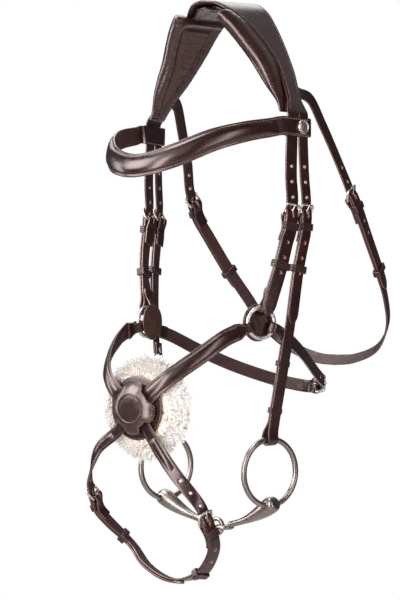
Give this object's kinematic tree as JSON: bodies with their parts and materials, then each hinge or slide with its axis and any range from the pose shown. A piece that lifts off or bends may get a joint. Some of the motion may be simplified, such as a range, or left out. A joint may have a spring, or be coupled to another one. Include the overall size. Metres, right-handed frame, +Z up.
{
  "type": "figure eight bridle",
  "caption": "Leather horse bridle with a crossed figure-eight noseband on a sheepskin nose pad, padded browband and crown, throatlash and a loose-ring jointed bit.",
  "frame": {"origin": "the middle of the poll, just under the crown, where the horse's head carries the bridle", "axes": "+Z up, +X towards the horse's near (left) side, -Y towards its nose"},
  "size_m": [0.2336, 0.3696, 0.6166],
  "materials": {
    "leather": "glossy dark brown bridle leather",
    "soft_leather": "soft padded dark brown leather",
    "steel": "polished stainless steel",
    "sheepskin": "cream wool pile"
  },
  "bodies": {
    "bridle": {"bit_cheekpiece_far": "leather", "bit_cheekpiece_near": "leather", "bit_far_buckle": "steel", "bit_near_buckle": "steel", "browband": "leather", "chin_far_buckle": "steel", "chin_near_buckle": "steel", "chin_strap": "leather", "crown_pad_far": "soft_leather", "crown_pad_near": "soft_leather", "headpiece": "leather", "hook_stud_far": "steel", "hook_stud_near": "steel", "jaw_buckle": "steel", "jaw_strap_far": "leather", "jaw_strap_near": "leather", "lower_strap_far": "leather", "lower_strap_near": "leather", "nose_pad": "leather", "nose_pad_backing": "soft_leather", "noseband_cheek_far": "leather", "noseband_cheek_near": "leather", "noseband_far_buckle": "steel", "noseband_near_buckle": "steel", "ring_guard_far": "soft_leather", "ring_guard_near": "soft_leather", "rosette_far": "steel", "rosette_near": "steel", "sheepskin_disc": "sheepskin", "throat_far_buckle": "steel", "throat_near_buckle": "steel", "throatlash": "leather", "upper_strap_far": "leather", "upper_strap_near": "leather"},
    "bit_far_tongue": {"bit_far_tongue": "steel"},
    "bit_near_tongue": {"bit_near_tongue": "steel"},
    "chin_far_tongue": {"chin_far_tongue": "steel"},
    "chin_near_tongue": {"chin_near_tongue": "steel"},
    "jaw_tongue": {"jaw_tongue": "steel"},
    "noseband_far_tongue": {"noseband_far_tongue": "steel"},
    "noseband_near_tongue": {"noseband_near_tongue": "steel"},
    "throat_far_tongue": {"throat_far_tongue": "steel"},
    "throat_near_tongue": {"throat_near_tongue": "steel"},
    "bit_keeper_far": {"bit_keeper_far": "leather"},
    "bit_keeper_near": {"bit_keeper_near": "leather"},
    "chin_keeper_far": {"chin_keeper_far": "leather"},
    "chin_keeper_near": {"chin_keeper_near": "leather"},
    "jaw_keeper": {"jaw_keeper": "leather"},
    "noseband_keeper_far": {"noseband_keeper_far": "leather"},
    "noseband_keeper_near": {"noseband_keeper_near": "leather"},
    "throat_keeper_far": {"throat_keeper_far": "leather"},
    "throat_keeper_near": {"throat_keeper_near": "leather"},
    "noseband_ring_near": {"noseband_ring_near": "steel"},
    "bit_ring_near": {"bit_ring_near": "steel"},
    "noseband_ring_far": {"noseband_ring_far": "steel"},
    "bit_ring_far": {"bit_ring_far": "steel"},
    "bit_arm_near": {"bit_arm_near": "steel"},
    "bit_arm_far": {"bit_arm_far": "steel"}
  },
  "joints": [
    {"name": "bit_far_tongue_pivot", "type": "hinge", "parent": "bridle", "child": "bit_far_tongue", "pos_m": [-0.09753, -0.00189, -0.22146], "axis": [0.1494, -0.9859, 0.075], "range_deg": [0, 30]},
    {"name": "bit_near_tongue_pivot", "type": "hinge", "parent": "bridle", "child": "bit_near_tongue", "pos_m": [0.09753, -0.00189, -0.22146], "axis": [0.1494, 0.9859, -0.075], "range_deg": [0, 30]},
    {"name": "chin_far_tongue_pivot", "type": "hinge", "parent": "bridle", "child": "chin_far_tongue", "pos_m": [-0.07129, -0.13828, -0.51471], "axis": [0.2507, -0.8356, -0.4888], "range_deg": [0, 30]},
    {"name": "chin_near_tongue_pivot", "type": "hinge", "parent": "bridle", "child": "chin_near_tongue", "pos_m": [0.07528, -0.13826, -0.53412], "axis": [0.2179, 0.895, 0.3893], "range_deg": [0, 30]},
    {"name": "jaw_tongue_pivot", "type": "hinge", "parent": "bridle", "child": "jaw_tongue", "pos_m": [0.02949, 0.11464, -0.4025], "axis": [-0.0948, 0.1774, 0.9796], "range_deg": [0, 30]},
    {"name": "noseband_far_tongue_pivot", "type": "hinge", "parent": "bridle", "child": "noseband_far_tongue", "pos_m": [-0.09424, -0.0236, -0.22142], "axis": [0.1691, -0.9747, 0.1461], "range_deg": [0, 30]},
    {"name": "noseband_near_tongue_pivot", "type": "hinge", "parent": "bridle", "child": "noseband_near_tongue", "pos_m": [0.09424, -0.0236, -0.22142], "axis": [0.1691, 0.9747, -0.1461], "range_deg": [0, 30]},
    {"name": "throat_far_tongue_pivot", "type": "hinge", "parent": "bridle", "child": "throat_far_tongue", "pos_m": [-0.10721, 0.07081, -0.20016], "axis": [-0.0862, -0.8621, -0.4994], "range_deg": [0, 30]},
    {"name": "throat_near_tongue_pivot", "type": "hinge", "parent": "bridle", "child": "throat_near_tongue", "pos_m": [0.10721, 0.07081, -0.20016], "axis": [-0.0862, 0.8621, 0.4994], "range_deg": [0, 30]},
    {"name": "bit_keeper_far_slide", "type": "slide", "parent": "bridle", "child": "bit_keeper_far", "axis": [-0.0754, 0.1823, 0.9804], "range_m": [-0.012, 0.012]},
    {"name": "bit_keeper_near_slide", "type": "slide", "parent": "bridle", "child": "bit_keeper_near", "axis": [0.0754, 0.1823, 0.9804], "range_m": [-0.012, 0.012]},
    {"name": "chin_keeper_far_slide", "type": "slide", "parent": "bridle", "child": "chin_keeper_far", "axis": [0.4462, 0.5673, -0.6922], "range_m": [-0.004, 0.0018]},
    {"name": "chin_keeper_near_slide", "type": "slide", "parent": "bridle", "child": "chin_keeper_near", "axis": [0.8233, -0.1796, 0.5385], "range_m": [-0.0021, 0.0048]},
    {"name": "jaw_keeper_slide", "type": "slide", "parent": "bridle", "child": "jaw_keeper", "axis": [0.8052, 0.5357, -0.2541], "range_m": [-0.0025, 0.0018]},
    {"name": "noseband_keeper_far_slide", "type": "slide", "parent": "bridle", "child": "noseband_keeper_far", "axis": [-0.2199, 0.1867, 0.9575], "range_m": [-0.012, 0.0018]},
    {"name": "noseband_keeper_near_slide", "type": "slide", "parent": "bridle", "child": "noseband_keeper_near", "axis": [0.1206, 0.2519, 0.9602], "range_m": [-0.0018, 0.012]},
    {"name": "throat_keeper_far_slide", "type": "slide", "parent": "bridle", "child": "throat_keeper_far", "axis": [-0.1072, -0.6247, 0.7735], "range_m": [-0.0076, 0.012]},
    {"name": "throat_keeper_near_slide", "type": "slide", "parent": "bridle", "child": "throat_keeper_near", "axis": [0.1072, -0.6247, 0.7735], "range_m": [-0.0076, 0.012]},
    {"name": "noseband_ring_near_turn", "type": "hinge", "parent": "bridle", "child": "noseband_ring_near", "pos_m": [0.078, -0.0495, -0.33271], "axis": [0.9272, -0.3746, 0], "continuous": true},
    {"name": "bit_ring_near_turn", "type": "hinge", "parent": "bridle", "child": "bit_ring_near", "pos_m": [0.071, -0.02508, -0.49], "axis": [0.9724, -0.2334, 0], "continuous": true},
    {"name": "noseband_ring_far_turn", "type": "hinge", "parent": "bridle", "child": "noseband_ring_far", "pos_m": [-0.078, -0.0495, -0.33271], "axis": [-0.9962, -0.0872, 0], "continuous": true},
    {"name": "bit_ring_far_turn", "type": "hinge", "parent": "bridle", "child": "bit_ring_far", "pos_m": [-0.071, -0.02508, -0.49], "axis": [-0.9816, 0.1908, 0], "continuous": true},
    {"name": "bit_arm_near_lift", "type": "hinge", "parent": "bridle", "child": "bit_arm_near", "pos_m": [0.071, -0.02508, -0.525], "axis": [0, 1, 0], "range_deg": [0, 6]},
    {"name": "bit_arm_far_lift", "type": "hinge", "parent": "bridle", "child": "bit_arm_far", "pos_m": [-0.071, -0.02508, -0.525], "axis": [0, -1, 0], "range_deg": [0, 6]}
  ],
  "couplings": [
    {"joint": "bit_arm_far_lift", "follows": "bit_arm_near_lift", "ratio": 1}
  ]
}
